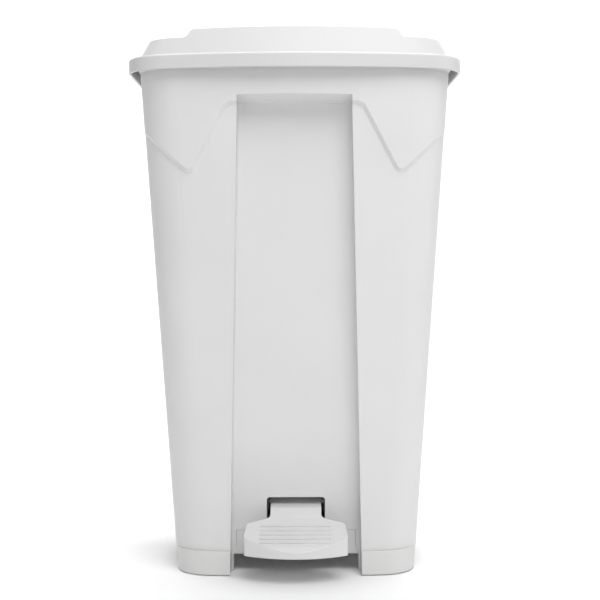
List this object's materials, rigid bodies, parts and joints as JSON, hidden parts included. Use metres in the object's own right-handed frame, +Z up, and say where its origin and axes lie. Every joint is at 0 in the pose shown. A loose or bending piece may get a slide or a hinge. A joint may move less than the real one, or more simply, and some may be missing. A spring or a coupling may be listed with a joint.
{
  "type": "pedal bin",
  "caption": "Tall tapered step-on waste bin with an overhanging hinged lid, a recessed front, a ribbed foot pedal and a push rod up the back that lifts the lid",
  "frame": {"origin": "on the floor, at the centre of the bin's width and depth", "axes": "+Z up, -Y is the front with the pedal, +X is to the right seen from the front"},
  "size_m": [0.504, 0.4239, 0.83],
  "materials": {
    "tub_plastic": "fine-grained white moulded plastic, satin",
    "base_plastic": "white moulded plastic, scuffed near the floor",
    "lid_plastic": "white moulded plastic, smooth satin",
    "pedal_plastic": "white moulded plastic, worn ribs",
    "cover_plastic": "white moulded plastic",
    "bearing_plastic": "natural acetal",
    "rubber": "black rubber",
    "bracket_steel": "zinc-plated sheet steel",
    "rod_steel": "bright drawn steel rod",
    "cap_plastic": "black plastic push-on caps",
    "screw_steel": "zinc-plated screws"
  },
  "bodies": {
    "root": {"body_shell": "tub_plastic", "base_frame": "base_plastic", "rear_cover": "cover_plastic", "pivot_bush_left": "bearing_plastic", "pivot_bush_right": "bearing_plastic", "bearing_keepers": "bearing_plastic", "rod_guide_lower": "bearing_plastic", "rod_guide_upper": "bearing_plastic", "foot_pads": "rubber", "pedal_stop_buffer": "rubber", "hinge_bracket_left": "bracket_steel", "hinge_bracket_right": "bracket_steel", "hinge_rod": "rod_steel", "hinge_rod_caps": "cap_plastic", "base_screws": "screw_steel", "keeper_screws": "screw_steel", "guide_screws": "screw_steel", "cover_screws": "screw_steel", "bracket_screws": "screw_steel"},
    "lid": {"lid": "lid_plastic", "lid_buffers": "rubber", "lid_lift_lug": "bracket_steel", "lug_screws": "screw_steel"},
    "pedal": {"pedal": "pedal_plastic", "pedal_screws": "screw_steel", "pedal_lever": "bracket_steel", "pedal_pivot_pin": "rod_steel", "pivot_pin_clips": "cap_plastic"},
    "push_rod": {"push_rod": "rod_steel", "rod_clip_lower": "cap_plastic", "rod_clip_upper": "cap_plastic"}
  },
  "joints": [
    {"name": "lid_hinge", "type": "hinge", "parent": "root", "child": "lid", "pos_m": [0, 0.203, 0.775], "axis": [-1, 0, 0], "range_deg": [0, 80]},
    {"name": "pedal_pivot", "type": "hinge", "parent": "root", "child": "pedal", "pos_m": [0, -0.025, 0.095], "axis": [1, 0, 0], "range_deg": [0, 10.6]},
    {"name": "push_rod_slide", "type": "slide", "parent": "root", "child": "push_rod", "axis": [0, 0, 1], "range_m": [0, 0.0378]}
  ],
  "couplings": [
    {"joint": "pedal_pivot", "follows": "lid_hinge", "ratio": 0.131},
    {"joint": "push_rod_slide", "follows": "lid_hinge", "m_per_rad": 0.02693}
  ]
}
